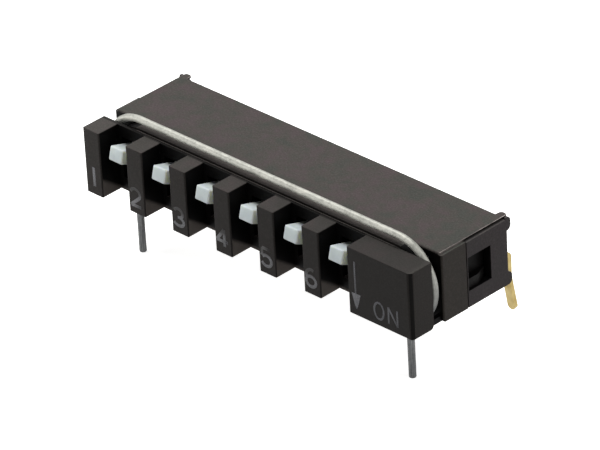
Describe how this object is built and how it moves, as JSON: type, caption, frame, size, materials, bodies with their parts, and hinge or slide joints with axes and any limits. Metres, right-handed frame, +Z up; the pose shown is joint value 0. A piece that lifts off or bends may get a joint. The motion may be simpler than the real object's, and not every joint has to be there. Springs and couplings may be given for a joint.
{
  "type": "dip switch",
  "caption": "Low piano-type DIP switch with side-actuated rocker levers, a round-wire hold-down and right-angle pins in one row.",
  "frame": {"origin": "centre of the housing's underside, the face that sits on the circuit board", "axes": "+X along the row of levers from lever 1 to the blank block, -Y the side that the levers face, +Z up away from the circuit board"},
  "size_m": [0.0188, 0.0078, 0.0067],
  "materials": {
    "black_plastic": "fine satin moulding",
    "black_plastic_base": "fine satin moulding",
    "white_plastic": "smooth moulding",
    "tinned_wire": "drawn and tin plated",
    "gold_plate": "thin gold plate",
    "spring_bronze": "rolled strip"
  },
  "bodies": {
    "body": {"housing": "black_plastic", "base": "black_plastic_base", "hold_down_wire": "tinned_wire", "common_bar": "gold_plate", "terminal_1": "gold_plate", "terminal_2": "gold_plate", "terminal_3": "gold_plate", "terminal_4": "gold_plate", "terminal_5": "gold_plate", "terminal_6": "gold_plate"},
    "rocker_1": {"lever_1": "white_plastic", "contact_1": "spring_bronze"},
    "rocker_2": {"lever_2": "white_plastic", "contact_2": "spring_bronze"},
    "rocker_3": {"lever_3": "white_plastic", "contact_3": "spring_bronze"},
    "rocker_4": {"lever_4": "white_plastic", "contact_4": "spring_bronze"},
    "rocker_5": {"lever_5": "white_plastic", "contact_5": "spring_bronze"},
    "rocker_6": {"lever_6": "white_plastic", "contact_6": "spring_bronze"}
  },
  "joints": [
    {"name": "rock_1", "type": "hinge", "parent": "body", "child": "rocker_1", "pos_m": [-0.00764, -0.00111, 0.00158], "axis": [1, 0, 0], "range_deg": [0, 32]},
    {"name": "rock_2", "type": "hinge", "parent": "body", "child": "rocker_2", "pos_m": [-0.00509, -0.00111, 0.00158], "axis": [1, 0, 0], "range_deg": [0, 32]},
    {"name": "rock_3", "type": "hinge", "parent": "body", "child": "rocker_3", "pos_m": [-0.00255, -0.00111, 0.00158], "axis": [1, 0, 0], "range_deg": [0, 32]},
    {"name": "rock_4", "type": "hinge", "parent": "body", "child": "rocker_4", "pos_m": [-0.00002, -0.00111, 0.00158], "axis": [1, 0, 0], "range_deg": [0, 32]},
    {"name": "rock_5", "type": "hinge", "parent": "body", "child": "rocker_5", "pos_m": [0.00252, -0.00111, 0.00158], "axis": [1, 0, 0], "range_deg": [0, 32]},
    {"name": "rock_6", "type": "hinge", "parent": "body", "child": "rocker_6", "pos_m": [0.00507, -0.00111, 0.00158], "axis": [1, 0, 0], "range_deg": [0, 32]}
  ]
}
